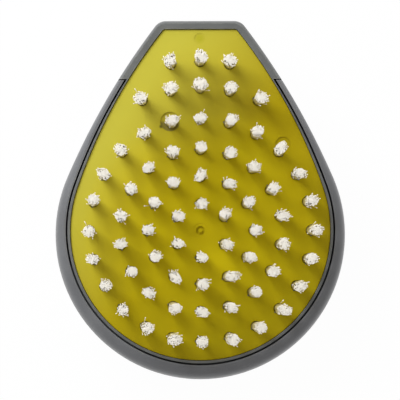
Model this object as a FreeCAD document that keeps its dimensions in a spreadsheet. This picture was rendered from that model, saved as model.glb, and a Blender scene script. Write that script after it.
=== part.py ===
import FreeCAD, Part
import math
import os
import re
from collections import namedtuple

import Sketcher
from FreeCAD import Placement, Rotation, Vector

# Palm-held vegetable brush lying on its back, in millimetres.
# +Z points along the bristles, +Y to the nose, and the origin is on the back's flat rest face,
# under the middle of the plate's round end.

SIZES = [
    # bristle plate
    ("plate_radius", 36.2, "round end of the plate"),
    ("plate_nose_reach", 55.95, "middle of the round end to the nose edge"),
    ("plate_corner_place", 9.65, "nose corner centres, off the middle line"),
    ("plate_corner_radius", 1.0, "rounding of the two nose corners"),
    ("plate_side_radius", 148.0, "gentle bow of the two long sides"),
    ("plate_thickness", 4.6, "back of the plate to its face"),
    ("plate_edge_round", 0.12, "rounding of the face's edge"),
    ("dish_radius", 2.1, "shallow dish round the moulding gate"),
    ("dish_depth", 0.3, "depth of the gate's dish"),
    ("gate_radius", 1.25, "moulding gate's pit in the middle of the face"),
    ("gate_depth", 1.2, "face to the floor of the gate's pit"),
    ("gate_nub_radius", 0.55, "trimmed sprue left standing in the pit"),
    ("gate_nub_height", 1.1, "height of the trimmed sprue"),
    ("mark_1_place", 31.5, "middle of the round end to the left ejector mark"),
    ("mark_1_radius", 2.7, "left ejector mark"),
    ("mark_2_place", 33.2, "middle of the round end to the right ejector mark"),
    ("mark_2_radius", 2.2, "right ejector mark"),
    ("mark_depth", 0.5, "depth of the ejector marks"),
    ("dimple_radius", 1.6, "shallow dimple behind the nose edge"),
    ("dimple_depth", 0.15, "depth of the nose dimple"),
    ("dimple_inset", 2.6, "nose edge to the middle of the dimple"),
    ("peg_radius", 0.9, "heat-staked pegs under the plate"),
    ("peg_head_radius", 1.4, "pegs' melted heads"),
    ("peg_head_height", 0.6, "pegs' melted heads, under the frame's ledge"),
    # tufts and their anchors
    ("tuft_edge_margin", 5.35, "outer tuft ring, inside the round end"),
    ("nose_row_1_inset", 16.35, "nose edge to the fifth row"),
    ("nose_row_2_inset", 8.95, "nose edge to the sixth row"),
    ("hole_radius", 1.5, "blind tuft holes"),
    ("hole_depth", 3.7, "depth of the tuft holes"),
    ("tuft_fit", 0.05, "room round a tuft's root in its hole"),
    ("tuft_length", 17.0, "free length above the face"),
    ("tuft_tip_radius", 1.8, "spread bundle near its tip"),
    ("tuft_crown", 0.4, "height of the trimmed crown"),
    ("anchor_width", 3.4, "flat strip, bitten into both sides of the hole"),
    ("anchor_height", 1.5, "height of the strip"),
    ("anchor_thickness", 0.4, "gauge of the strip"),
    ("anchor_lift", 0.5, "folded filaments under the strip"),
    # head frame
    ("plate_fit", 0.08, "room between plate and frame"),
    ("lip_wall", 0.75, "lip round the plate's round end"),
    ("lip_nose_wall", 0.2, "lip where it runs into the nose"),
    ("lip_round", 0.15, "rounding of the lip's edges"),
    ("face_recess", 0.75, "plate face below the lip"),
    ("ledge_thickness", 1.5, "ledge under the plate"),
    ("ledge_width", 4.0, "ledge under the plate's edge"),
    ("opening_corner_radius", 1.5, "nose corners of the opening inside the ledge"),
    ("peg_fit", 0.1, "room round the pegs"),
    ("snap_reach", 0.35, "snap bead's bite into the shell"),
    ("snap_width", 1.2, "height of the snap bead"),
    ("snap_fit", 0.1, "room round the snap bead"),
    # handle shell
    ("seam", 0.5, "open seam between frame and shell"),
    ("rim_height", 26.0, "rest face to the rim"),
    ("rim_land", 0.45, "flat crest of the rim beside the seam"),
    ("rim_swell", 2.68, "girth outside the crest at the sides"),
    ("tail_swell", 1.22, "girth's further swell at the tail"),
    ("girth_height", 19.0, "rest face to the widest section"),
    ("girth_side_radius", 202.0, "gentle bow of the girth's long sides"),
    ("nose_land", 1.72, "flat nose rim outside the plate"),
    ("nose_swell", 0.99, "girth outside the nose rim's flat"),
    ("nose_round", 3.75, "rounding of the nose corners in plan"),
    ("nose_flat", 9.6, "girth's nose corner centres, off the middle line"),
    ("nose_roll", 0.45, "crest's nose corner centres, in from the girth's"),
    ("arm_reach", 41.9, "middle of the round end to the ends of the arms"),
    ("arm_gap", 0.3, "open line between the arms' ends and the nose"),
    ("rest_radius", 21.0, "round end of the flat rest face"),
    ("rest_nose_reach", 31.0, "nose end of the flat rest face"),
    ("rest_corner_place", 5.2, "rest face's corner centres, off the middle line"),
    ("rest_corner_radius", 4.0, "rounding of the rest face's nose corners"),
    ("rest_side_radius", 150.0, "bow of the rest face's sides"),
    ("floor_wall", 2.6, "wall over the rest face"),
    ("seat_step", 0.8, "cavity, in from the mouth, for the frame to sit on"),
    ("shelf_wall", 1.1, "nose shelf, in from the plate's nose edge"),
    ("cavity_corner_radius", 3.0, "nose corners of the cavity"),
    ("cavity_floor_inset", 2.0, "cavity floor, inside the rest face"),
    ("bowl_height", 17.0, "rest face to the top of the cavity's bowl"),
    ("rib_reach", 1.8, "seat ribs, in from the shell's mouth"),
    ("rib_root", 0.8, "seat ribs, into the shell's wall"),
    ("rib_thickness", 1.6, "seat ribs"),
    ("rib_drop", 4.0, "foot of the seat ribs, below the bowl's top"),
    # cuts
    ("overrun", 1.0, "how far a cut runs past the face it opens"),
]

RING_COUNTS = (6, 12, 18, 24)
RING_SHARES = (0.245, 0.481, 0.728, 1.0)   # of the outer ring's radius
NOSE_ROW_COUNTS = (5, 3)
NOSE_ROW_STEPS = (12.0, 10.0)              # degrees between neighbours
MARK_TURNS = (15.5, -44.0)                 # degrees from the nose, counter-clockwise
BACK_STATIONS = (0, 18, 36, 54, 72, 90)    # degrees along the back's quarter ellipse
RIM_STATIONS = (0, 30, 60, 90)             # degrees along the rim's quarter ellipse
CAVITY_STATIONS = (0, 30, 60, 90)
RIB_COUNT = 7
PEG_COUNT = 5
ROUND_END_SPAN = 180.0                     # degrees of the round end that ribs and pegs share
SNAP_SPAN = 150.0                          # degrees of the round end that the snap bead covers
SNAP_ROOM = 2.0                            # degrees by which the bead's groove is longer
FULL_TURN = 360.0
EDGE_SHARES = (0.0, 0.5, 1.0)              # where along an edge its place is tested
SAME_PLACE = 1e-4

doc = FreeCAD.newDocument("vegetable_brush")
sheet = doc.addObject("Spreadsheet::Sheet", "sizes")
for row, (alias, number, note) in enumerate(SIZES, start=1):
    sheet.set(f"A{row}", alias)
    sheet.set(f"B{row}", str(number))
    sheet.set(f"C{row}", note)
    sheet.setAlias(f"B{row}", alias)
doc.recompute()
ALIASES = {alias for alias, number, note in SIZES}


def cells(text):
    """Points each size named in an expression at its cell."""
    def point(word):
        return f"sizes.{word[0]}" if word[0] in ALIASES else word[0]
    return re.sub(r"[a-z_][a-z_0-9]*", point, text)


def value(text):
    return float(sheet.evalExpression(cells(text)))


Outline = namedtuple("Outline", "radius centre nose corner_place corner_radius side_radius")


def plate_outline(grow="0"):
    """The plate's teardrop, moved outward by the given amount all round."""
    return Outline(f"plate_radius + {grow}", "0", f"plate_nose_reach + {grow}", "plate_corner_place",
                   f"plate_corner_radius + {grow}", f"plate_side_radius + {grow}")


def lip_outline(grow="0"):
    """The outside of the frame's lip, thinner towards the nose, moved outward by the given amount."""
    nose_grow = f"plate_fit + lip_nose_wall + {grow}"
    return Outline(f"plate_radius + {frame_grow} + {grow}", "0", f"plate_nose_reach + {nose_grow}",
                   "plate_corner_place", f"plate_corner_radius + {nose_grow}",
                   f"plate_side_radius + {frame_grow} + {grow}")


def blend(first, second, share):
    """A teardrop part of the way from one outline to another."""
    pairs = zip(first, second)
    return Outline(*[f"({start}) + (({end}) - ({start})) * {share:.6f}" for start, end in pairs])


# levels and outlines that several pieces share
face_level = "(rim_height - face_recess)"
plate_level = f"({face_level} - plate_thickness)"
seat_level = f"({plate_level} - ledge_thickness)"
hole_level = f"({face_level} - hole_depth)"
frame_grow = "(plate_fit + lip_wall)"
mouth_grow = f"({frame_grow} + seam)"
mouth_radius = f"(plate_radius + {mouth_grow})"
peg_ring = "(plate_radius - ledge_width / 2)"
outer_ring = "(plate_radius - tuft_edge_margin)"
snap_level = f"(({seat_level} + rim_height) / 2)"

crest = Outline(f"{mouth_radius} + rim_land", "0", "plate_nose_reach + nose_land", "nose_flat - nose_roll",
                "nose_round", f"plate_side_radius + {mouth_grow} + rim_land")
girth = Outline(f"{mouth_radius} + rim_land + rim_swell", "-tail_swell",
                "plate_nose_reach + nose_land + nose_swell", "nose_flat", "nose_round", "girth_side_radius")
rest = Outline("rest_radius", "0", "rest_nose_reach", "rest_corner_place", "rest_corner_radius",
               "rest_side_radius")
cavity = Outline(f"{mouth_radius} - seat_step", "0", "plate_nose_reach - shelf_wall",
                 "plate_corner_place - shelf_wall", "cavity_corner_radius",
                 f"plate_side_radius + {mouth_grow} - seat_step")
cavity_floor = Outline("rest_radius - cavity_floor_inset", "0", "rest_nose_reach - cavity_floor_inset",
                       "rest_corner_place - cavity_floor_inset / 2",
                       "rest_corner_radius - cavity_floor_inset / 2", "rest_side_radius - cavity_floor_inset")
opening = Outline("plate_radius - ledge_width", "0", "plate_nose_reach - ledge_width",
                  "plate_corner_place - ledge_width / 2 - opening_corner_radius / 2", "opening_corner_radius",
                  "plate_side_radius - ledge_width")


def new_body(label):
    body = doc.addObject("PartDesign::Body", label)
    body.Label = label
    body.AllowCompound = True
    return body


def origin_feature(body, role):
    return next(item for item in body.Origin.OriginFeatures if item.Role == role)


def new_sketch(body, name, role="XY_Plane", level="0", out="0", turn=0.0):
    """A sketch on an origin plane, raised to a level, shifted along its first axis or turned."""
    sketch = body.newObject("Sketcher::SketchObject", name)
    sketch.AttachmentSupport = [(origin_feature(body, role), "")]
    sketch.MapMode = "FlatFace"
    sketch.AttachmentOffset = Placement(Vector(), Rotation(Vector(0, 0, 1), turn))
    sketch.setExpression("AttachmentOffset.Base.z", cells(level))
    sketch.setExpression("AttachmentOffset.Base.x", cells(out))
    return sketch


def constrain(sketch, name, text, *constraint):
    """Adds a named constraint whose size follows an expression."""
    index = sketch.addConstraint(Sketcher.Constraint(*constraint, value(text)))
    sketch.renameConstraint(index, name)
    sketch.setExpression(f"Constraints.{name}", cells(text))


def draw_arc(sketch, centre, radius, start, end):
    circle = Part.Circle(centre, Vector(0, 0, 1), radius)
    return sketch.addGeometry(Part.ArcOfCircle(circle, start, end), False)


def draw_teardrop(sketch, outline):
    """Seven tangent edges: the round end in two arcs, two bowed sides, two corners and the nose."""
    radius, centre, nose, place, corner_radius, side_radius = [value(text) for text in outline]
    tail = Vector(0, centre, 0)
    corner = Vector(place, nose - corner_radius, 0)
    # a bowed side touches both circles from outside, with its centre across the middle line
    reach = corner - tail
    near, far = side_radius - radius, side_radius - corner_radius
    along = (near ** 2 - far ** 2 + reach.Length ** 2) / (2 * reach.Length)
    ahead = reach / reach.Length
    side = tail + ahead * along + Vector(-ahead.y, ahead.x, 0) * math.sqrt(near ** 2 - along ** 2)
    low = math.atan2(tail.y - side.y, tail.x - side.x)
    high = math.atan2(corner.y - side.y, corner.x - side.x)
    left_corner = Vector(-corner.x, corner.y, 0)
    left_side = Vector(-side.x, side.y, 0)
    draw_arc(sketch, tail, radius, -math.pi / 2, low)
    draw_arc(sketch, side, side_radius, low, high)
    draw_arc(sketch, corner, corner_radius, high, math.pi / 2)
    sketch.addGeometry(Part.LineSegment(Vector(place, nose, 0), Vector(-place, nose, 0)), False)
    draw_arc(sketch, left_corner, corner_radius, math.pi / 2, math.pi - high)
    draw_arc(sketch, left_side, side_radius, math.pi - high, math.pi - low)
    draw_arc(sketch, tail, radius, math.pi - low, 3 * math.pi / 2)
    for edge in range(6):
        sketch.addConstraint(Sketcher.Constraint("Tangent", edge, 2, edge + 1, 1))
    sketch.addConstraint(Sketcher.Constraint("Coincident", 6, 2, 0, 1))
    sketch.addConstraint(Sketcher.Constraint("Coincident", 6, 3, 0, 3))
    sketch.addConstraint(Sketcher.Constraint("PointOnObject", 0, 3, -2))
    sketch.addConstraint(Sketcher.Constraint("PointOnObject", 0, 1, -2))
    sketch.addConstraint(Sketcher.Constraint("Horizontal", 3))
    sketch.addConstraint(Sketcher.Constraint("Equal", 1, 5))
    sketch.addConstraint(Sketcher.Constraint("Equal", 2, 4))
    constrain(sketch, "radius", outline.radius, "Radius", 0)
    constrain(sketch, "centre", outline.centre, "DistanceY", -1, 1, 0, 3)
    constrain(sketch, "nose", outline.nose, "DistanceY", -1, 1, 3, 1)
    constrain(sketch, "right_corner", outline.corner_place, "DistanceX", -1, 1, 2, 3)
    constrain(sketch, "left_corner", outline.corner_place, "DistanceX", 4, 3, -1, 1)
    constrain(sketch, "corner_radius", outline.corner_radius, "Radius", 2)
    constrain(sketch, "side_radius", outline.side_radius, "Radius", 1)


def draw_polygon(sketch, points):
    """A closed run of straight edges through points given as pairs of expressions."""
    spots = [Vector(value(across), value(up), 0) for across, up in points]
    for index, spot in enumerate(spots):
        sketch.addGeometry(Part.LineSegment(spot, spots[(index + 1) % len(spots)]), False)
    for index in range(len(spots)):
        sketch.addConstraint(Sketcher.Constraint("Coincident", index, 2, (index + 1) % len(spots), 1))
    for index, (across, up) in enumerate(points):
        constrain(sketch, f"across_{index}", across, "DistanceX", -1, 1, index, 1)
        constrain(sketch, f"up_{index}", up, "DistanceY", -1, 1, index, 1)


def draw_rectangle(sketch, left, right, bottom, top):
    draw_polygon(sketch, [(left, bottom), (right, bottom), (right, top), (left, top)])


def draw_circle(sketch, across, up, radius):
    circle = Part.Circle(Vector(value(across), value(up), 0), Vector(0, 0, 1), value(radius))
    index = sketch.addGeometry(circle, False)
    constrain(sketch, f"across_{index}", across, "DistanceX", -1, 1, index, 3)
    constrain(sketch, f"up_{index}", up, "DistanceY", -1, 1, index, 3)
    constrain(sketch, f"radius_{index}", radius, "Radius", index)


def add_feature(body, kind, name, profile, **settings):
    """A feature on a sketch; a length is bound to the sheet, other settings are set as they are."""
    feature = body.newObject(f"PartDesign::{kind}", name)
    feature.Profile = profile
    for setting, content in settings.items():
        if setting == "Length":
            feature.setExpression(setting, cells(content))
        else:
            setattr(feature, setting, content)
    profile.Visibility = False
    doc.recompute()
    return feature


def cut(body, name, profile, **settings):
    """A cutting feature, refused if it leaves the piece as it was."""
    kind = settings.pop("kind", "Pocket")
    before = body.Shape.Volume
    feature = add_feature(body, kind, name, profile, **settings)
    if body.Shape.Volume >= before:
        raise RuntimeError(f"{name} cuts nothing from {body.Label}")
    return feature


def repeat(body, name, originals, count, span):
    """Copies features about the vertical axis, spread over a span in degrees."""
    pattern = body.newObject("PartDesign::PolarPattern", name)
    pattern.Originals = originals
    pattern.Axis = (origin_feature(body, "Z_Axis"), [""])
    pattern.Angle = span
    pattern.Occurrences = count
    body.Tip = pattern
    doc.recompute()
    return pattern


def edges_on(shape, sketch):
    """Names of a shape's edges that run along a sketch's lines."""
    names = []
    for index, edge in enumerate(shape.Edges, start=1):
        ends = (edge.FirstParameter, edge.LastParameter)
        spots = [edge.valueAt(ends[0] + (ends[1] - ends[0]) * share) for share in EDGE_SHARES]
        if all(sketch.Shape.distToShape(Part.Vertex(spot))[0] < SAME_PLACE for spot in spots):
            names.append(f"Edge{index}")
    return names


def round_edges(body, name, sketches, radius):
    """Rounds the edges that were drawn by some of the body's sketches."""
    base = body.Tip
    names = [edge for sketch in sketches for edge in edges_on(base.Shape, sketch)]
    fillet = body.newObject("PartDesign::Fillet", name)
    fillet.Base = (base, names)
    fillet.setExpression("Radius", cells(radius))
    body.Tip = fillet
    doc.recompute()
    return fillet


def tuft_rows():
    """Each row of tufts: its name, radius about the plate's middle, count and span in degrees."""
    rows = []
    for index, (count, share) in enumerate(zip(RING_COUNTS, RING_SHARES), start=1):
        rows.append((f"ring_{index}", f"{outer_ring} * {share}", count, FULL_TURN))
    for index, (count, step) in enumerate(zip(NOSE_ROW_COUNTS, NOSE_ROW_STEPS), start=1):
        radius = f"(plate_nose_reach - nose_row_{index}_inset)"
        rows.append((f"nose_row_{index}", radius, count, (count - 1) * step))
    return rows


def first_turn(span):
    """Turn of a row's first copy, so that the row straddles the middle line."""
    return 0.0 if span == FULL_TURN else -span / 2


def loft_back(body):
    """The domed back, from the flat rest face up to the girth."""
    sections = []
    for angle in BACK_STATIONS:
        turn = math.radians(angle)
        sketch = new_sketch(body, f"back_{angle}", level=f"girth_height * {1 - math.cos(turn):.6f}")
        draw_teardrop(sketch, blend(girth, rest, 1 - math.sin(turn)))
        sections.append(sketch)
    return add_feature(body, "AdditiveLoft", "palm_back", sections[0], Sections=sections[1:])


def loft_rim(body):
    """The rim, rolling in from the girth to its crest."""
    sections = []
    for angle in RIM_STATIONS:
        turn = math.radians(angle)
        level = f"girth_height + (rim_height - girth_height) * {math.sin(turn):.6f}"
        sketch = new_sketch(body, f"rim_{angle}", level=level)
        draw_teardrop(sketch, blend(girth, crest, 1 - math.cos(turn)))
        sections.append(sketch)
    return add_feature(body, "AdditiveLoft", "palm_rim", sections[0], Sections=sections[1:])


def draw_snap(sketch, inner, room):
    """The snap bead's section at the tail, with sloping flanks, or its groove when given room."""
    bite = f"({mouth_radius} + snap_reach + {room})"
    half = f"(snap_width / 2 + {room})"
    draw_polygon(sketch, [(f"-{inner}", f"{snap_level} - {half}"),
                          (f"-{inner}", f"{snap_level} + {half}"),
                          (f"-{bite}", f"{snap_level} + {half} / 2"),
                          (f"-{bite}", f"{snap_level} - {half} / 2")])


def make_handle_shell():
    body = new_body("handle_shell")
    loft_back(body)
    loft_rim(body)
    mouth = new_sketch(body, "mouth", level="rim_height")
    draw_teardrop(mouth, lip_outline("seam"))
    cut(body, "mouth_pocket", mouth, Length=f"rim_height - {seat_level}")
    notch = new_sketch(body, "notch", level="rim_height + overrun")
    draw_rectangle(notch, f"-{mouth_radius}", mouth_radius, "arm_reach",
                   "plate_nose_reach + nose_land + nose_swell + overrun")
    cut(body, "nose_notch", notch, Length=f"rim_height + overrun - {seat_level}")
    walls = new_sketch(body, "cavity_outline", level=seat_level)
    draw_teardrop(walls, cavity)
    cut(body, "cavity_walls", walls, Length=f"{seat_level} - bowl_height")
    bowl = []
    for angle in CAVITY_STATIONS:
        turn = math.radians(angle)
        level = f"floor_wall + (bowl_height - floor_wall) * {1 - math.cos(turn):.6f}"
        sketch = new_sketch(body, f"bowl_{angle}", level=level)
        draw_teardrop(sketch, blend(cavity, cavity_floor, 1 - math.sin(turn)))
        bowl.append(sketch)
    cut(body, "cavity_bowl", bowl[0], kind="SubtractiveLoft", Sections=bowl[1:])
    groove = new_sketch(body, "snap_section", role="YZ_Plane")
    draw_snap(groove, f"({mouth_radius} - overrun)", "snap_fit")
    cut(body, "snap_groove", groove, kind="Groove", ReferenceAxis=(groove, ["V_Axis"]),
        Angle=SNAP_SPAN + SNAP_ROOM, Midplane=True)
    foot = new_sketch(body, "rib_foot", level="bowl_height - rib_drop", turn=first_turn(ROUND_END_SPAN))
    draw_rectangle(foot, "-rib_thickness / 2", "rib_thickness / 2", f"-({mouth_radius} + rib_root)",
                   f"-({mouth_radius} - rib_reach)")
    rib = add_feature(body, "Pad", "seat_rib", foot, Length=f"{seat_level} - bowl_height + rib_drop")
    repeat(body, "seat_ribs", [rib], RIB_COUNT, ROUND_END_SPAN)
    return body


def make_head_frame():
    body = new_body("head_frame")
    loft_rim(body)
    below = new_sketch(body, "below_seat", level="girth_height - overrun")
    wide = f"({mouth_radius} + rim_land + rim_swell + tail_swell + overrun)"
    long = "(plate_nose_reach + nose_land + nose_swell + overrun)"
    draw_rectangle(below, f"-{wide}", wide, f"-{wide}", long)
    cut(body, "seat_cut", below, Length=f"{seat_level} - girth_height + overrun", Reversed=True)
    behind = new_sketch(body, "behind_nose", level="rim_height + overrun")
    draw_rectangle(behind, f"-{wide}", wide, f"-{wide}", "arm_reach + arm_gap")
    cut(body, "nose_cut", behind, Length=f"rim_height + overrun - {seat_level} + overrun")
    collar = new_sketch(body, "collar", level="rim_height")
    draw_teardrop(collar, lip_outline())
    add_feature(body, "Pad", "collar_pad", collar, Length=f"rim_height - {seat_level}", Reversed=True)
    bead = new_sketch(body, "snap_section", role="YZ_Plane")
    draw_snap(bead, f"(plate_radius + {frame_grow} - lip_wall / 2)", "0")
    add_feature(body, "Revolution", "snap_bead", bead, ReferenceAxis=(bead, ["V_Axis"]), Angle=SNAP_SPAN,
                Midplane=True)
    pocket = new_sketch(body, "pocket", level="rim_height")
    draw_teardrop(pocket, plate_outline("plate_fit"))
    cut(body, "plate_pocket", pocket, Length=f"rim_height - {plate_level}")
    round_edges(body, "lip_edges", [collar, pocket], "lip_round")
    inside = new_sketch(body, "inside", level=plate_level)
    draw_teardrop(inside, opening)
    cut(body, "ledge_opening", inside, Length="ledge_thickness + overrun")
    hole = new_sketch(body, "peg_hole", level=plate_level, turn=first_turn(ROUND_END_SPAN))
    draw_circle(hole, "0", f"-{peg_ring}", "peg_radius + peg_fit")
    first = cut(body, "peg_hole_cut", hole, Length="ledge_thickness + overrun")
    repeat(body, "peg_holes", [first], PEG_COUNT, ROUND_END_SPAN)
    return body


def make_bristle_plate():
    body = new_body("bristle_plate")
    blank = new_sketch(body, "blank", level=face_level)
    draw_teardrop(blank, plate_outline())
    add_feature(body, "Pad", "plate_pad", blank, Length="plate_thickness", Reversed=True)
    round_edges(body, "face_edge", [blank], "plate_edge_round")
    stake = new_sketch(body, "stake", level=plate_level, turn=first_turn(ROUND_END_SPAN))
    draw_circle(stake, "0", f"-{peg_ring}", "peg_radius")
    peg = add_feature(body, "Pad", "peg", stake, Length="ledge_thickness", Reversed=True)
    melt = new_sketch(body, "melt", level=seat_level, turn=first_turn(ROUND_END_SPAN))
    draw_circle(melt, "0", f"-{peg_ring}", "peg_head_radius")
    head = add_feature(body, "Pad", "peg_head", melt, Length="peg_head_height", Reversed=True)
    repeat(body, "pegs", [peg, head], PEG_COUNT, ROUND_END_SPAN)
    dish = new_sketch(body, "dish", level=face_level)
    draw_circle(dish, "0", "0", "dish_radius")
    cut(body, "gate_dish", dish, Length="dish_depth")
    gate = new_sketch(body, "gate", level=face_level)
    draw_circle(gate, "0", "0", "gate_radius")
    cut(body, "gate_pit", gate, Length="gate_depth")
    nub = new_sketch(body, "nub", level=f"{face_level} - gate_depth")
    draw_circle(nub, "0", "0", "gate_nub_radius")
    add_feature(body, "Pad", "gate_nub", nub, Length="gate_nub_height")
    for index, turn in enumerate(MARK_TURNS, start=1):
        mark = new_sketch(body, f"mark_{index}", level=face_level, turn=turn)
        draw_circle(mark, "0", f"mark_{index}_place", f"mark_{index}_radius")
        cut(body, f"ejector_mark_{index}", mark, Length="mark_depth")
    dimple = new_sketch(body, "dimple", level=face_level)
    draw_circle(dimple, "0", "plate_nose_reach - dimple_inset", "dimple_radius")
    cut(body, "nose_dimple", dimple, Length="dimple_depth")
    for name, radius, count, span in sorted(tuft_rows(), key=lambda row: row[2]):
        cut_tuft_holes(body, name, radius, count, span)
    return body


def cut_tuft_holes(body, name, radius, count, span):
    """One row of blind holes, each with the two nicks that its anchor cut on the way down."""
    hole = new_sketch(body, f"hole_{name}", level=face_level, turn=first_turn(span))
    draw_circle(hole, "0", radius, "hole_radius")
    bore = cut(body, f"bore_{name}", hole, Length="hole_depth")
    nick = new_sketch(body, f"nick_{name}", level=face_level, turn=first_turn(span))
    draw_rectangle(nick, "-anchor_width / 2", "anchor_width / 2", f"{radius} - anchor_thickness / 2",
                   f"{radius} + anchor_thickness / 2")
    slot = cut(body, f"nicks_{name}", nick, Length="hole_depth - anchor_lift")
    repeat(body, f"holes_{name}", [bore, slot], count, span)


def draw_anchor(sketch):
    """The strip's section across its gauge, at its height in the hole."""
    draw_rectangle(sketch, "-anchor_thickness / 2", "anchor_thickness / 2", f"{hole_level} + anchor_lift",
                   f"{hole_level} + anchor_lift + anchor_height")


def make_tufts(name, radius, count, span):
    body = new_body(f"tufts_{name}")
    half = new_sketch(body, "half_section", role="YZ_Plane", out=radius)
    root = "(hole_radius - tuft_fit)"
    tip = f"({face_level} + tuft_length)"
    draw_polygon(half, [("0", hole_level), (root, hole_level), (root, face_level),
                        ("tuft_tip_radius", f"{tip} - tuft_crown"), ("0", tip)])
    bundle = add_feature(body, "Revolution", "bundle", half, ReferenceAxis=(half, ["V_Axis"]),
                         Angle=FULL_TURN)
    fold = new_sketch(body, "fold", role="YZ_Plane", out=radius)
    draw_anchor(fold)
    slot = cut(body, "fold_slot", fold, Length="anchor_width", SideType="Symmetric")
    repeat(body, "row", [bundle, slot], count, span)
    body.Placement = Placement(Vector(), Rotation(Vector(0, 0, 1), first_turn(span)))
    return body


def make_anchors(name, radius, count, span):
    body = new_body(f"anchors_{name}")
    section = new_sketch(body, "section", role="YZ_Plane", out=radius)
    draw_anchor(section)
    strip = add_feature(body, "Pad", "strip", section, Length="anchor_width", SideType="Symmetric")
    repeat(body, "row", [strip], count, span)
    body.Placement = Placement(Vector(), Rotation(Vector(0, 0, 1), first_turn(span)))
    return body


pieces = [make_handle_shell(), make_head_frame(), make_bristle_plate()]
for tuft_row in tuft_rows():
    pieces.append(make_tufts(*tuft_row))
    pieces.append(make_anchors(*tuft_row))
doc.recompute()

failed = [item.Name for item in doc.Objects if {"Invalid", "Error"} & set(item.State)]
failed += [piece.Label for piece in pieces if piece.Shape.isNull() or not piece.Shape.isValid()]
if failed:
    raise RuntimeError(f"failed: {failed}")

os.makedirs("parts", exist_ok=True)
for piece in pieces:
    piece.Shape.exportStep(f"parts/{piece.Label}.step")
    print(piece.Label, len(piece.Shape.Solids), "solids", round(piece.Shape.Volume, 1), "mm3")
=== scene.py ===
import bpy
import math
import random
from mathutils import Matrix, Vector


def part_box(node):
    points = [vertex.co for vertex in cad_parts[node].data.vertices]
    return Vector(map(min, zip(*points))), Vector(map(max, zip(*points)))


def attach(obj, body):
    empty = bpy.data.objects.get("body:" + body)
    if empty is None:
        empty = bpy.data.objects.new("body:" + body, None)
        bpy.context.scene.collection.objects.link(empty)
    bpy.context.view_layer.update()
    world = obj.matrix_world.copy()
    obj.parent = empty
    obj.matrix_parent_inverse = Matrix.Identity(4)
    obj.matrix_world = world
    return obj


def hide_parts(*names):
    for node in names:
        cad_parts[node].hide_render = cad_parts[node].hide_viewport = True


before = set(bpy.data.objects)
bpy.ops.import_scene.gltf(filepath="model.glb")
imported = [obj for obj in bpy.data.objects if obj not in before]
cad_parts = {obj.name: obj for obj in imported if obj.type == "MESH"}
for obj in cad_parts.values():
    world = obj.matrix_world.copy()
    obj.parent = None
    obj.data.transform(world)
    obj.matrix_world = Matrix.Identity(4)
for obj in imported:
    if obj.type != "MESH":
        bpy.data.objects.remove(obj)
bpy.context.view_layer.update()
bpy.ops.object.select_all(action="DESELECT")  # the load leaves every node selected
bpy.context.scene.view_settings.view_transform = "Standard"
print("frame loaded,", len(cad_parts), "nodes")

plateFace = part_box("bristle_plate")[1].z
noiseSpan = (0.3, 0.7)  # where most of a noise texture's values lie


def ink(red, green, blue):  # a colour as a picture editor shows it, made linear
    parts = []
    for level in (red, green, blue):
        share = level / 255
        parts.append(share / 12.92 if share < 0.04045 else ((share + 0.055) / 1.055) ** 2.4)
    return (*parts, 1)


def startFinish(name):
    finish = bpy.data.materials.new(name)
    finish.use_nodes = True
    return finish, finish.node_tree, finish.node_tree.nodes["Principled BSDF"]


def addNode(tree, kind, inputs=None, **settings):
    node = tree.nodes.new(kind)
    for key, value in settings.items():
        setattr(node, key, value)
    for key, value in (inputs or {}).items():
        node.inputs[key].default_value = value
    return node


def addNoise(tree, place, scale, detail=2.0, roughness=0.5):
    noise = addNode(tree, "ShaderNodeTexNoise", {"Scale": scale, "Detail": detail, "Roughness": roughness})
    tree.links.new(place, noise.inputs["Vector"])
    return noise.outputs["Fac"]


def addRamp(tree, source, stops):  # stops are (place, colour)
    ramp = addNode(tree, "ShaderNodeValToRGB")
    while len(ramp.color_ramp.elements) < len(stops):
        ramp.color_ramp.elements.new(0.5)
    for element, (place, colour) in zip(ramp.color_ramp.elements, stops):
        element.position = place
        element.color = colour
    tree.links.new(source, ramp.inputs["Fac"])
    return ramp.outputs["Color"]


def addRange(tree, source, fromLow, fromHigh, toLow, toHigh):
    turned = addNode(tree, "ShaderNodeMapRange", {
        "From Min": fromLow, "From Max": fromHigh, "To Min": toLow, "To Max": toHigh})
    tree.links.new(source, turned.inputs["Value"])
    return turned.outputs["Result"]


def addBump(tree, height, strength, distance):
    bump = addNode(tree, "ShaderNodeBump", {"Strength": strength, "Distance": distance})
    tree.links.new(height, bump.inputs["Height"])
    return bump.outputs["Normal"]


def addBlend(tree, share, first, second, how="MIX"):  # colours, one laid over the other
    blend = addNode(tree, "ShaderNodeMix", data_type="RGBA", blend_type=how)
    sockets = (blend.inputs["Factor"], blend.inputs[6], blend.inputs[7])
    for socket, source in zip(sockets, (share, first, second)):
        if isinstance(source, bpy.types.NodeSocket):
            tree.links.new(source, socket)
        else:
            socket.default_value = source
    return blend.outputs[2]


def addProduct(tree, first, second):
    product = addNode(tree, "ShaderNodeMath", operation="MULTIPLY")
    tree.links.new(first, product.inputs[0])
    tree.links.new(second, product.inputs[1])
    return product.outputs["Value"]


def addMeasure(tree, place, how, other=(0, 0, 0)):  # a place's length, distance or dot product
    measure = addNode(tree, "ShaderNodeVectorMath", {1: other}, operation=how)
    tree.links.new(place, measure.inputs[0])
    return measure.outputs["Value"]


def addEdgeMask(tree, reach):  # 0 on the flats, rising to 1 where the surface turns a corner
    onFlat, onCorner = 0.99, 0.85  # how far the eased normal agrees with the plain one
    eased = addNode(tree, "ShaderNodeBevel", {"Radius": reach}, samples=6)
    plain = addNode(tree, "ShaderNodeNewGeometry")
    agree = addNode(tree, "ShaderNodeVectorMath", operation="DOT_PRODUCT")
    tree.links.new(eased.outputs["Normal"], agree.inputs[0])
    tree.links.new(plain.outputs["Normal"], agree.inputs[1])
    return addRange(tree, agree.outputs["Value"], onFlat, onCorner, 0, 1)


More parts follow.
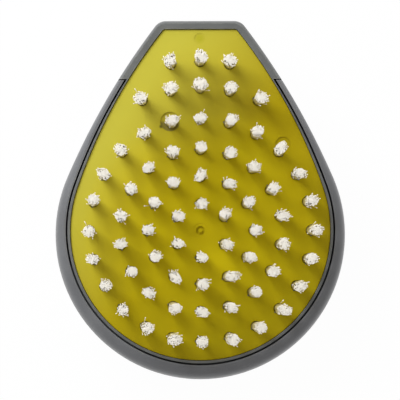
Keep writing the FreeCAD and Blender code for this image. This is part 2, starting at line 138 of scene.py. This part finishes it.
shellLook = {
    "dark": ink(97, 98, 101),
    "light": ink(107, 108, 111),
    # worn edges and light specks; along the edges this also stands as a painted highlight where they catch
    # the light
    "wornAndHighlight": ink(130, 131, 134),
    "speckShare": 0.16,
    "wearAndHighlightShare": 0.5,
    "wearAndHighlightReach": 0.0005,
    "patchScale": 600,  # the edge wear and its painted highlight come in patches
    "patchSpan": (0.4, 0.7),
    "blotchScale": 70,
    "blotchSpan": (0.35, 0.65),
    "rough": (0.36, 0.46),
    "grainScale": 2400,  # about 0.4 mm of moulded grain
    "grainStrength": 0.5,
    "grainHeight": 0.00003,
}

frameLook = {
    "dark": ink(88, 90, 90),
    "light": ink(97, 99, 99),
    # worn edges and light specks; on the frame's lip and nose edges, brightened strongly, it is mostly a
    # painted highlight where they catch the light
    "wornAndHighlight": ink(150, 150, 143),
    "speckShare": 0.07,
    "wearAndHighlightShare": 0.9,
    "wearAndHighlightReach": 0.0005,
    "patchScale": 600,
    "patchSpan": (0.4, 0.7),
    "blotchScale": 90,
    "blotchSpan": (0.35, 0.65),
    "rough": (0.36, 0.46),
    "grainScale": 3800,
    "grainStrength": 0.5,
    "grainHeight": 0.000012,
}


def makeMouldedGrey(name, look):
    finish, tree, shader = startFinish(name)
    place = addNode(tree, "ShaderNodeTexCoord").outputs["Object"]
    blotch = addNoise(tree, place, look["blotchScale"], detail=4, roughness=0.6)
    grain = addNoise(tree, place, look["grainScale"], detail=3, roughness=0.6)
    patch = addNoise(tree, place, look["patchScale"], detail=3)
    body = addRamp(tree, blotch, list(zip(look["blotchSpan"], (look["dark"], look["light"]))))
    speck = addRange(tree, grain, *noiseSpan, 0, look["speckShare"])
    body = addBlend(tree, speck, body, look["wornAndHighlight"])
    # edge wear, with a painted highlight on the edges that catch the light
    patchy = addRange(tree, patch, *look["patchSpan"], 0, look["wearAndHighlightShare"])
    wearAndHighlight = addProduct(tree, addEdgeMask(tree, look["wearAndHighlightReach"]), patchy)
    tree.links.new(addBlend(tree, wearAndHighlight, body, look["wornAndHighlight"]), shader.inputs["Base Color"])
    tree.links.new(addRange(tree, blotch, *noiseSpan, *look["rough"]), shader.inputs["Roughness"])
    tree.links.new(addBump(tree, grain, look["grainStrength"], look["grainHeight"]), shader.inputs["Normal"])
    return finish


# the painted edge shade and the painted light in the middle reach out from the origin, which lies straight
# under the gate on the rest face
plateLook = {
    "deep": ink(182, 162, 4),
    "bright": ink(188, 170, 8),
    "mottleScale": 55,
    "ring": ink(196, 183, 30),
    "ringShare": 0.05,
    "flowScale": 260,  # fine rings left by the melt as it spread from the gate
    "rim": ink(162, 140, 4),  # painted shade: darker towards the plate's edge, where the lip stands over it
    "rimReach": (0.0398, 0.0444),
    "rimShare": 0.5,
    "litSheen": ink(191, 182, 62),  # painted sheen: paler towards the upper left, where the lamp's light and gloss lie on the plate
    "litSheenWay": (-0.8, 0.6, 0),
    "litSheenReach": (0.004, 0.036),
    "litCore": ink(209, 190, 7),  # painted light: lighter and warmer in the middle, lifting the shade the tufts cast there
    "litCoreReach": (0.027, 0.0415),
    "coreShare": 0.95,
    # a grey-brown stain with painted shade, where the tuft beside the left ejector mark shades its floor
    "stainAndShade": ink(122, 112, 66),
    "stainAndShadeSpot": (-0.0084, 0.0304, plateFace - 0.0005),  # floor of the left ejector mark
    "stainAndShadeReach": (0.0026, 0.0029),
    "stainAndShadeShare": 0.75,
    "stainAndShadeEnds": (0.0299, 0.0307),  # it keeps to the mark's lower half, where the painted shade of the tuft falls
    "stainAndShadeLeft": 0.1,  # of it, in the upper half
    # a small dark spot at the lower left end of the left ejector mark
    "markEnd": ink(84, 76, 40),
    "markEndSpot": (-0.0109, 0.0290, plateFace),
    "markEndReach": (0.0002, 0.0007),
    "markEndShare": 0.8,
    # darker and greener in the dimple behind the nose
    "hollowTone": ink(164, 160, 8),
    "hollowToneSpot": (-0.0001, 0.0535, plateFace - 0.00015),  # the dimple behind the nose
    "hollowToneReach": (0.0006, 0.0017),
    "hollowToneShare": 0.5,
    "rough": (0.4, 0.5),
    "gloss": 0.1,
    "grainScale": 1500,
    "grainStrength": 0.3,
    "grainHeight": 0.00001,
}


def makeOlivePlate(name, look):
    finish, tree, shader = startFinish(name)
    place = addNode(tree, "ShaderNodeTexCoord").outputs["Object"]
    mottle = addNoise(tree, place, look["mottleScale"], detail=3, roughness=0.55)
    grain = addNoise(tree, place, look["grainScale"])
    body = addRamp(tree, mottle, list(zip(noiseSpan, (look["deep"], look["bright"]))))

    rings = addNode(tree, "ShaderNodeTexWave", {
        "Scale": look["flowScale"], "Distortion": 6, "Detail": 2, "Detail Scale": 0.6},
        wave_type="RINGS", rings_direction="Z")
    tree.links.new(place, rings.inputs["Vector"])
    ringShare = addRange(tree, rings.outputs["Fac"], 0, 1, 0, look["ringShare"])
    body = addBlend(tree, ringShare, body, look["ring"])

    fromOrigin = addMeasure(tree, place, "LENGTH")
    # painted shade towards the plate's edge, under the lip
    rimShare = addRange(tree, fromOrigin, *look["rimReach"], 0, look["rimShare"])
    body = addBlend(tree, rimShare, body, look["rim"])
    # painted sheen, paler towards the upper left
    across = addMeasure(tree, place, "DOT_PRODUCT", look["litSheenWay"])
    body = addBlend(tree, addRange(tree, across, *look["litSheenReach"], 0, 1), body, look["litSheen"])
    # painted light in the middle of the plate, lifting the tufts' shade
    coreShare = addRange(tree, fromOrigin, *look["litCoreReach"], look["coreShare"], 0)
    body = addBlend(tree, coreShare, body, look["litCore"])

    # the left ejector mark's floor: a grey-brown stain and painted shade in its lower half
    fromMark = addMeasure(tree, place, "DISTANCE", look["stainAndShadeSpot"])
    inMark = addRange(tree, fromMark, *look["stainAndShadeReach"], look["stainAndShadeShare"], 0)
    ways = addNode(tree, "ShaderNodeSeparateXYZ")
    tree.links.new(place, ways.inputs["Vector"])
    lower = addRange(tree, ways.outputs["Y"], *look["stainAndShadeEnds"], 1, look["stainAndShadeLeft"])
    body = addBlend(tree, addProduct(tree, inMark, lower), body, look["stainAndShade"])
    # the dark spot at the mark's end, and the darker tone in the nose dimple
    for spot in ("markEnd", "hollowTone"):
        away = addMeasure(tree, place, "DISTANCE", look[spot + "Spot"])
        share = addRange(tree, away, *look[spot + "Reach"], look[spot + "Share"], 0)
        body = addBlend(tree, share, body, look[spot])

    tree.links.new(body, shader.inputs["Base Color"])
    tree.links.new(addRange(tree, mottle, *noiseSpan, *look["rough"]), shader.inputs["Roughness"])
    tree.links.new(addBump(tree, grain, look["grainStrength"], look["grainHeight"]), shader.inputs["Normal"])
    shader.inputs["Specular IOR Level"].default_value = look["gloss"]
    return finish


nylonLook = {
    "root": ink(228, 215, 136),  # painted shade and a painted reflection of the olive plate, down among the strands
    "middle": ink(253, 245, 204),
    "tip": ink(255, 250, 238),
    "stops": (0.2, 0.6, 0.96),  # where these lie along a strand
    "dullest": ink(243, 240, 237),  # strands differ a little in tone
    "whitest": ink(255, 255, 255),
    "rough": (0.32, 0.5),
    "grainScale": 9000,
    "grainStrength": 0.2,
    "grainHeight": 0.00001,
    "clearShare": 0.2,  # light goes a little way into a strand
    "clearTint": (1, 0.95, 0.8),
    "clearReach": 0.0004,
}


def makeNylon(name, look):
    finish, tree, shader = startFinish(name)
    along = addNode(tree, "ShaderNodeAttribute", attribute_name="along").outputs["Fac"]
    tone = addNode(tree, "ShaderNodeAttribute", attribute_name="tone").outputs["Fac"]
    place = addNode(tree, "ShaderNodeTexCoord").outputs["Object"]
    grain = addNoise(tree, place, look["grainScale"], detail=1)
    # darker and yellower towards the root: painted shade among the strands and a painted reflection of the
    # olive plate
    body = addRamp(tree, along, list(zip(look["stops"], (look["root"], look["middle"], look["tip"]))))
    shade = addRamp(tree, tone, [(0, look["dullest"]), (1, look["whitest"])])
    tree.links.new(addBlend(tree, 1.0, body, shade, "MULTIPLY"), shader.inputs["Base Color"])
    tree.links.new(addRange(tree, tone, 0, 1, *look["rough"]), shader.inputs["Roughness"])
    tree.links.new(addBump(tree, grain, look["grainStrength"], look["grainHeight"]), shader.inputs["Normal"])
    shader.inputs["Subsurface Weight"].default_value = look["clearShare"]
    shader.inputs["Subsurface Radius"].default_value = look["clearTint"]
    shader.inputs["Subsurface Scale"].default_value = look["clearReach"]
    return finish


steelLook = {
    "dull": ink(150, 148, 142),
    "clean": ink(188, 187, 182),
    "drawnScale": 1800,
    "rough": (0.28, 0.45),
}


def makeSteel(name, look):
    finish, tree, shader = startFinish(name)
    place = addNode(tree, "ShaderNodeTexCoord").outputs["Object"]
    drawn = addNoise(tree, place, look["drawnScale"], detail=3, roughness=0.6)
    body = addRamp(tree, drawn, list(zip(noiseSpan, (look["dull"], look["clean"]))))
    tree.links.new(body, shader.inputs["Base Color"])
    tree.links.new(addRange(tree, drawn, *noiseSpan, *look["rough"]), shader.inputs["Roughness"])
    shader.inputs["Metallic"].default_value = 1
    return finish


shellGrey = makeMouldedGrey("shellGrey", shellLook)
frameGrey = makeMouldedGrey("frameGrey", frameLook)
plateOlive = makeOlivePlate("plateOlive", plateLook)
nylonWhite = makeNylon("nylonWhite", nylonLook)
anchorSteel = makeSteel("anchorSteel", steelLook)


def dress(node, finish):
    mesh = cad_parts[node].data
    mesh.materials.clear()
    mesh.materials.append(finish)


dress("handle_shell", shellGrey)
dress("head_frame", frameGrey)
dress("bristle_plate", plateOlive)
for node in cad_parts:
    if node.startswith("anchors_"):
        dress(node, anchorSteel)
print("moulded parts and anchors dressed")


# one strand is modelled, then copied into every tuft
strand = {
    "sides": 5,
    "radius": 0.000115,
    "lifts": 5,
    "endShare": 1.6,  # the trimmed end is feathered out a little
    "endFrom": 0.99,  # and lies past this share of the length
    "looseShare": 0.8,  # of that, on the strands that stand loose
    "cutEase": 0.00003,
    "cutShare": 0.9,
    "smoothAngle": 60,
    "straightShare": 0.45,  # of the sway, the rest bends in towards the tip
}

tuft = {
    "seed": 68,
    "tipRadius": 0.0018,
    "holeDepth": 0.0037,
    "rootSpread": 0.00128,
    "pitch": 0.00024,  # strands lie side by side in the hole
    "flare": (-0.07, 0.08),  # how much wider the tips stand than the roots
    "flareSlope": 4.5,  # per metre from the gate, as the outer tufts are worn wider
    "flareReach": 0.036,  # and the slope ends here
    "noseFrom": 0.035,  # the nose rows are worn widest, and bent back a little
    "noseFlare": 0.08,
    "noseLean": Vector((0, -0.00014)),
    "endFlare": 0.6,  # the trimmed ends are feathered more where the tuft is wide
    "coreShare": 0.6,  # of the flare, in the middle of the tuft
    "longShare": (0.04, 0.34),  # each tuft fans out further along one line
    "longGain": 1.4,
    "longGive": 0.4,  # and draws in all round for it
    "longTurn": 0.45,  # radians, the spread of that line about X
    "crown": 0.00014,
    "ragged": 0.00004,
    "jitter": 0.00005,
    "jitterCore": 0.5,  # of it, in the middle of the tuft
    "spikes": (9, 14),  # round each tuft, where the strands splay further than the rest
    "spikeReach": (0.00025, 0.0009),
    "spikeWidth": 0.11,  # radians
    "spikeDrop": 0.25,  # of the splay
    "lean": Vector((0.00045, 0.00042)),  # the whole field lies over a little
    "leanSlope": Vector((-0.0101, 0.0024)),  # sideways less towards the nose, forwards more towards +X
    "leanSpread": 0.00022,
    "strays": 2,
    "strayReach": (0.0004, 0.0012),
    "strayDrop": (0.0004, 0.002),
}

rows = {  # tufts in the row, and the step between them in degrees
    "tufts_ring_1": (6, 60),
    "tufts_ring_2": (12, 30),
    "tufts_ring_3": (18, 20),
    "tufts_ring_4": (24, 15),
    "tufts_nose_row_1": (5, 12),
    "tufts_nose_row_2": (3, 10),
}


def modelStrand(length):
    bpy.ops.object.select_all(action="DESELECT")
    bpy.ops.mesh.primitive_circle_add(vertices=strand["sides"], radius=strand["radius"], fill_type="NGON")
    one = bpy.context.object
    one.name = "strand"
    bpy.ops.object.mode_set(mode="EDIT")
    bpy.ops.mesh.select_all(action="SELECT")
    step = (length - strand["cutEase"]) / strand["lifts"]
    for lift in range(strand["lifts"]):
        bpy.ops.mesh.extrude_region_move(TRANSFORM_OT_translate={"value": (0, 0, step)})
    share = strand["endShare"]
    bpy.ops.transform.resize(value=(share, share, 1))
    bpy.ops.mesh.extrude_region_move(TRANSFORM_OT_translate={"value": (0, 0, strand["cutEase"])})
    share = strand["cutShare"]
    bpy.ops.transform.resize(value=(share, share, 1))
    bpy.ops.mesh.select_all(action="SELECT")
    bpy.ops.mesh.normals_make_consistent(inside=False)
    bpy.ops.object.mode_set(mode="OBJECT")
    bpy.ops.object.shade_smooth_by_angle(angle=math.radians(strand["smoothAngle"]))
    along = one.data.attributes.new("along", "FLOAT", "POINT")
    for vertex in one.data.vertices:
        along.data[vertex.index].value = vertex.co.z / length
    one.data.attributes.new("tone", "FLOAT", "POINT")
    return one


def bendStrand(one, root, tip, levels, tone, end):
    copy = one.copy()
    copy.data = one.data.copy()
    bpy.context.scene.collection.objects.link(copy)
    rootLevel, faceLevel, tipLevel = levels
    faceShare = (faceLevel - rootLevel) / (tipLevel - rootLevel)
    sway = tip - root
    straight = strand["straightShare"]
    bent = 1 - straight
    along = copy.data.attributes["along"].data
    tones = copy.data.attributes["tone"].data
    for vertex in copy.data.vertices:
        share = along[vertex.index].value
        if share > strand["endFrom"]:
            vertex.co = vertex.co * end
        free = max(0, (share - faceShare) / (1 - faceShare))
        lie = root + sway * (straight * free + bent * free * free)
        slope = sway * (straight + 2 * bent * free) / (tipLevel - faceLevel)
        tilt = slope.dot(vertex.co.xy) if free > 0 else 0  # keeps the section square to the strand
        level = rootLevel + share * (tipLevel - rootLevel)
        vertex.co = (lie.x + vertex.co.x, lie.y + vertex.co.y, level - tilt)
        tones[vertex.index].value = tone
    return copy


def packRoots(chance):  # strands packed in the round hole, as near a honeycomb as they lie
    turn = chance.uniform(0, math.pi / 3)
    shift = Vector((chance.uniform(-0.5, 0.5), chance.uniform(-0.5, 0.5))) * tuft["pitch"]
    reach = math.ceil(tuft["rootSpread"] / tuft["pitch"]) + 2  # the slanting lattice needs a little more
    places = []
    for across in range(-reach, reach + 1):
        for up in range(-reach, reach + 1):
            spot = Vector((across + up / 2, up * math.sqrt(3) / 2)) * tuft["pitch"] + shift
            spot.rotate(Matrix.Rotation(turn, 2))
            if spot.length <= tuft["rootSpread"]:
                places.append(spot)
    return places


def scatter(chance):  # a random step in the plane
    return Vector((chance.gauss(0, 1), chance.gauss(0, 1)))


def spikeAt(facing, spikes):  # how far the strands on this side of a tuft splay
    reach = 0
    for turn, strength in spikes:
        away = (facing - turn + math.pi) % (2 * math.pi) - math.pi
        reach = max(reach, strength * math.exp(-(away / tuft["spikeWidth"]) ** 2))
    return reach


def growTuft(one, centre, rootLevel, faceLevel, tipLevel, chance):
    lean = tuft["lean"] + Vector((centre.y, centre.x)) * tuft["leanSlope"]
    lean += scatter(chance) * tuft["leanSpread"]
    longTurn = chance.gauss(0, tuft["longTurn"])
    longWay = Vector((math.cos(longTurn), math.sin(longTurn)))
    longShare = chance.uniform(*tuft["longShare"])
    flare = chance.uniform(*tuft["flare"])
    flare += min(centre.length, tuft["flareReach"]) * tuft["flareSlope"]
    if centre.length > tuft["noseFrom"]:
        flare += tuft["noseFlare"]
        lean += tuft["noseLean"]
    places = sorted(packRoots(chance), key=lambda place: place.length)
    outside = places[len(places) // 2:]
    strays = chance.sample(outside, chance.randint(0, tuft["strays"]))
    spikes = [(chance.uniform(-math.pi, math.pi), chance.uniform(*tuft["spikeReach"]))
              for spike in range(chance.randint(*tuft["spikes"]))]
    strands = []
    for place in places:
        edge = place.length / tuft["rootSpread"]  # 0 in the middle of the tuft, 1 at its outside
        outward = place.normalized()
        out = place * flare * (tuft["coreShare"] + (1 - tuft["coreShare"]) * edge)
        out += longWay * place.dot(longWay) * longShare * tuft["longGain"]
        out -= place * longShare * tuft["longGive"]
        out += scatter(chance) * tuft["jitter"] * (tuft["jitterCore"] + edge)
        drop = tuft["crown"] * edge * edge + abs(chance.gauss(0, 1)) * tuft["ragged"]
        splay = edge ** 2 * spikeAt(math.atan2(place.y, place.x), spikes)
        out += outward * splay
        drop += splay * tuft["spikeDrop"]
        end = 1 + flare * tuft["endFlare"]
        if splay > strand["radius"]:
            end = strand["looseShare"]
        if place in strays:  # bent away from the rest
            end = strand["looseShare"]
            out += outward * chance.uniform(*tuft["strayReach"])
            drop += chance.uniform(*tuft["strayDrop"])
        root = centre + place
        levels = (rootLevel, faceLevel, tipLevel - drop)
        strands.append(bendStrand(one, root, root + out + lean, levels, chance.random(), end))
    return strands


def buildRow(node, one, chance):
    count, step = rows[node]
    low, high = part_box(node)
    radius = high.y - tuft["tipRadius"]
    faceLevel = low.z + tuft["holeDepth"]
    first = 0 if count * step == 360 else -step * (count - 1) / 2  # a short row straddles the nose line
    strands = []
    for index in range(count):
        angle = math.radians(first + index * step)
        centre = Vector((radius * math.sin(angle), radius * math.cos(angle)))
        strands += growTuft(one, centre, low.z, faceLevel, high.z - strand["radius"], chance)
    bpy.ops.object.select_all(action="DESELECT")
    for piece in strands:
        piece.select_set(True)
    bpy.context.view_layer.objects.active = strands[0]
    bpy.ops.object.join()
    row = bpy.context.object
    row.name = node.replace("tufts", "bristles")
    row.data.materials.clear()
    row.data.materials.append(nylonWhite)
    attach(row, "root")
    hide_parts(node)
    print(row.name, len(strands), "strands")


chance = random.Random(tuft["seed"])
low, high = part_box("tufts_ring_1")
seedStrand = modelStrand(high.z - low.z)
for node in rows:
    buildRow(node, seedStrand, chance)
bpy.data.objects.remove(seedStrand)
print("bristles grown")


studio = {
    "floorReach": 3.0,
    "floorDrop": 0.00005,  # just clear of the rest face
    "floorWhite": 0.92,
    "floorRough": 0.9,
    "floorGlow": 0.975,  # share of the floor's look that is plain white to the camera
    "skyLow": 0.8,  # the sky is bright round the sides and dimmer overhead
    "skyHigh": 0.5,
    "skyRise": (0.1, 0.75),  # it dims between these heights
    "skySides": (0.5, 1.5),  # and is brighter past the nose than past the tail
    "skyTurn": 108,  # degrees from +X, its brightest side
    "skyTint": (1.0, 0.98, 0.95, 1),
    "lampTint": (0.97, 1.0, 1.02),
    "lampAim": Vector((0, 0.008, 0.026)),
    "lampTurn": 131,  # degrees from +X, so the light comes from the upper left
    "lampRise": 48,
    "lampAway": 0.7,
    "lampSize": 0.34,
    "lampPower": 3.55,
    "cameraAway": 0.7,  # from the plate's face
    "frameWidth": 0.11142,  # what the picture spans on that face
    "sensorWidth": 36,  # millimetres
    "cameraUp": 0.0085,
    "cameraAside": -0.005,  # it stands a little to the left, with its lens shifted back
    "cameraNudge": -0.0001,
    "cameraRoll": -0.13,  # degrees
}


def makeFloorPaint(name):
    paint, tree, shader = startFinish(name)
    shader.inputs["Base Color"].default_value = (studio["floorWhite"],) * 3 + (1,)
    shader.inputs["Roughness"].default_value = studio["floorRough"]
    glow = addNode(tree, "ShaderNodeEmission", {"Color": (1, 1, 1, 1), "Strength": 1.0})
    rays = addNode(tree, "ShaderNodeLightPath")
    seen = addNode(tree, "ShaderNodeMath", operation="MAXIMUM")
    seenToo = addNode(tree, "ShaderNodeMath", operation="MAXIMUM")
    tree.links.new(rays.outputs["Is Camera Ray"], seen.inputs[0])
    tree.links.new(rays.outputs["Is Glossy Ray"], seen.inputs[1])
    tree.links.new(seen.outputs["Value"], seenToo.inputs[0])
    tree.links.new(rays.outputs["Is Transmission Ray"], seenToo.inputs[1])
    share = addNode(tree, "ShaderNodeMath", {1: studio["floorGlow"]}, operation="MULTIPLY")
    tree.links.new(seenToo.outputs["Value"], share.inputs[0])
    mix = addNode(tree, "ShaderNodeMixShader")
    tree.links.new(share.outputs["Value"], mix.inputs["Fac"])
    tree.links.new(shader.outputs["BSDF"], mix.inputs[1])
    tree.links.new(glow.outputs["Emission"], mix.inputs[2])
    tree.links.new(mix.outputs["Shader"], tree.nodes["Material Output"].inputs["Surface"])
    return paint


def makeSky(name):
    world = bpy.data.worlds.new(name)
    world.use_nodes = True
    tree = world.node_tree
    sky = tree.nodes["Background"]
    sky.inputs["Color"].default_value = studio["skyTint"]
    outward = addNode(tree, "ShaderNodeTexCoord").outputs["Generated"]
    ways = addNode(tree, "ShaderNodeSeparateXYZ")
    tree.links.new(outward, ways.inputs["Vector"])
    upward = addRange(tree, ways.outputs["Z"], *studio["skyRise"], studio["skyLow"], studio["skyHigh"])
    turn = math.radians(studio["skyTurn"])
    brightWay = addMeasure(tree, outward, "DOT_PRODUCT", (math.cos(turn), math.sin(turn), 0))
    sideways = addRange(tree, brightWay, -1, 1, *studio["skySides"])
    tree.links.new(addProduct(tree, upward, sideways), sky.inputs["Strength"])
    return world


bpy.ops.object.select_all(action="DESELECT")
bpy.ops.mesh.primitive_plane_add(size=2 * studio["floorReach"], location=(0, 0, -studio["floorDrop"]))
floor = bpy.context.object
floor.name = "floor"
floor.data.materials.append(makeFloorPaint("floorWhite"))

bpy.context.scene.world = makeSky("studio")

turn = math.radians(studio["lampTurn"])
rise = math.radians(studio["lampRise"])
toLamp = Vector((math.cos(turn) * math.cos(rise), math.sin(turn) * math.cos(rise), math.sin(rise)))
bpy.ops.object.light_add(type="AREA", location=studio["lampAim"] + toLamp * studio["lampAway"])
lamp = bpy.context.object
lamp.data.size = studio["lampSize"]
lamp.data.energy = studio["lampPower"]
lamp.data.color = studio["lampTint"]
lamp.rotation_euler = toLamp.to_track_quat("Z", "Y").to_euler()

cameraPlace = (studio["cameraAside"], studio["cameraUp"], plateFace + studio["cameraAway"])
bpy.ops.object.camera_add(location=cameraPlace, rotation=(0, 0, math.radians(studio["cameraRoll"])))
camera = bpy.context.object
camera.data.sensor_width = studio["sensorWidth"]
camera.data.lens = studio["sensorWidth"] * studio["cameraAway"] / studio["frameWidth"]
camera.data.shift_x = (studio["cameraNudge"] - studio["cameraAside"]) / studio["frameWidth"]
bpy.context.scene.camera = camera
print("studio set")
